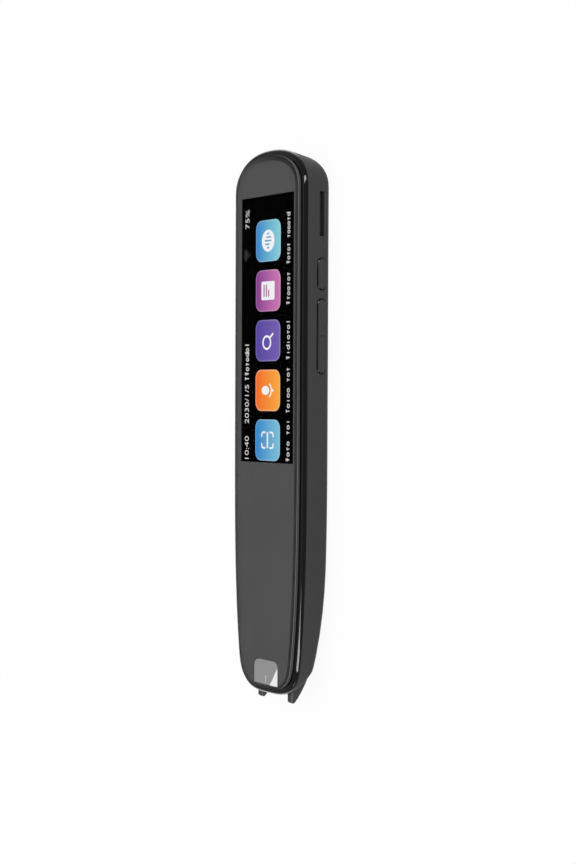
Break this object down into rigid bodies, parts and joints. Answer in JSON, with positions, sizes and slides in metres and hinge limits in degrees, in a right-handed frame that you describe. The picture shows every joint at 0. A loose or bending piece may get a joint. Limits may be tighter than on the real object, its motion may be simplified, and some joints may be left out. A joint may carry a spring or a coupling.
{
  "type": "scanning pen",
  "caption": "Slim hand-held text scanner with a long front display, side keys, and a scanning tip on two sprung skids.",
  "frame": {"origin": "on the flat rear face that the pen lies on, on the centre line, halfway along the case", "axes": "+Z out of the screen, +Y along the pen towards the charging end, -Y towards the scanning tip, +X towards the side keys"},
  "size_m": [0.0321, 0.1486, 0.0104],
  "materials": {
    "case_plastic": "fine-textured dark grey moulded plastic",
    "frame_plastic": "high-gloss black moulded plastic",
    "panel_print": "grey print on the back of the cover",
    "cover_glass": "clear polished cover with an eased edge",
    "clear_plastic": "clear moulded sight block",
    "display_black": "black display face",
    "foam": "closed-cell foam pad",
    "flex_amber": "amber polyimide flexible circuit",
    "chip_black": "black moulding compound",
    "nib_plastic": "black slippery plastic of the skids",
    "key_plastic": "dark grey satin key caps",
    "steel": "plated steel",
    "plunger_white": "white switch plunger",
    "lamp_white": "white lamp body",
    "board_green": "green solder mask on glass-fibre board",
    "cell_foil": "silver pouch cell foil",
    "mesh_black": "black speaker mesh"
  },
  "bodies": {
    "case": {"rear_case": "case_plastic", "middle_frame": "frame_plastic", "front_panel": "panel_print", "cover_glass": "cover_glass", "sight_block": "clear_plastic", "display_module": "display_black", "display_foam": "foam", "display_flex": "flex_amber", "display_socket": "chip_black", "nib_spring": "steel", "tip_switch": "chip_black", "camera_housing": "chip_black", "camera_lens": "cover_glass", "camera_board": "board_green", "camera_flex": "flex_amber", "left_lamp": "lamp_white", "right_lamp": "lamp_white", "main_board": "board_green", "shield_can": "steel", "processor": "chip_black", "memory_chip": "chip_black", "power_chip": "chip_black", "battery": "cell_foil", "battery_socket": "chip_black", "battery_lead": "flex_amber", "case_screw_1": "steel", "case_screw_2": "steel", "case_screw_3": "steel", "case_screw_4": "steel", "case_screw_5": "steel", "case_screw_6": "steel", "board_screw_1": "steel", "board_screw_2": "steel", "board_screw_3": "steel", "board_screw_4": "steel", "power_switch": "chip_black", "rocker_pin": "steel", "rocker_cradle": "steel", "volume_up_switch": "chip_black", "volume_down_switch": "chip_black", "key_board": "board_green", "key_stiffener": "steel", "speaker": "chip_black", "speaker_mesh": "mesh_black", "charging_socket": "steel", "socket_tongue": "chip_black", "top_board": "board_green", "microphone": "steel", "antenna": "flex_amber"},
    "nib": {"nib_carriage": "nib_plastic", "tip_switch_plunger": "plunger_white"},
    "power_button": {"power_key": "key_plastic", "power_plunger": "plunger_white"},
    "rocker": {"volume_rocker": "key_plastic"},
    "up_plunger": {"volume_up_plunger": "plunger_white"},
    "down_plunger": {"volume_down_plunger": "plunger_white"}
  },
  "joints": [
    {"name": "nib_press", "type": "slide", "parent": "case", "child": "nib", "axis": [0, 1, 0], "range_m": [0, 0.0008], "stiffness_N_per_m": 300, "deforming": ["nib_spring"]},
    {"name": "power_press", "type": "slide", "parent": "case", "child": "power_button", "axis": [-1, 0, 0], "range_m": [0, 0.0003], "stiffness_N_per_m": 300},
    {"name": "rocker_tilt", "type": "hinge", "parent": "case", "child": "rocker", "pos_m": [0.0132, 0.0229, 0.00355], "axis": [0, 0, 1], "range_deg": [-1.4, 1.4], "stiffness_Nm_per_rad": 0.02},
    {"name": "volume_up_press", "type": "slide", "parent": "case", "child": "up_plunger", "axis": [-1, 0, 0], "range_m": [-0.00016, 0.00016]},
    {"name": "volume_down_press", "type": "slide", "parent": "case", "child": "down_plunger", "axis": [-1, 0, 0], "range_m": [-0.00016, 0.00016]}
  ],
  "couplings": [
    {"joint": "volume_up_press", "follows": "rocker_tilt", "m_per_rad": 0.0065},
    {"joint": "volume_down_press", "follows": "rocker_tilt", "m_per_rad": -0.0065}
  ]
}
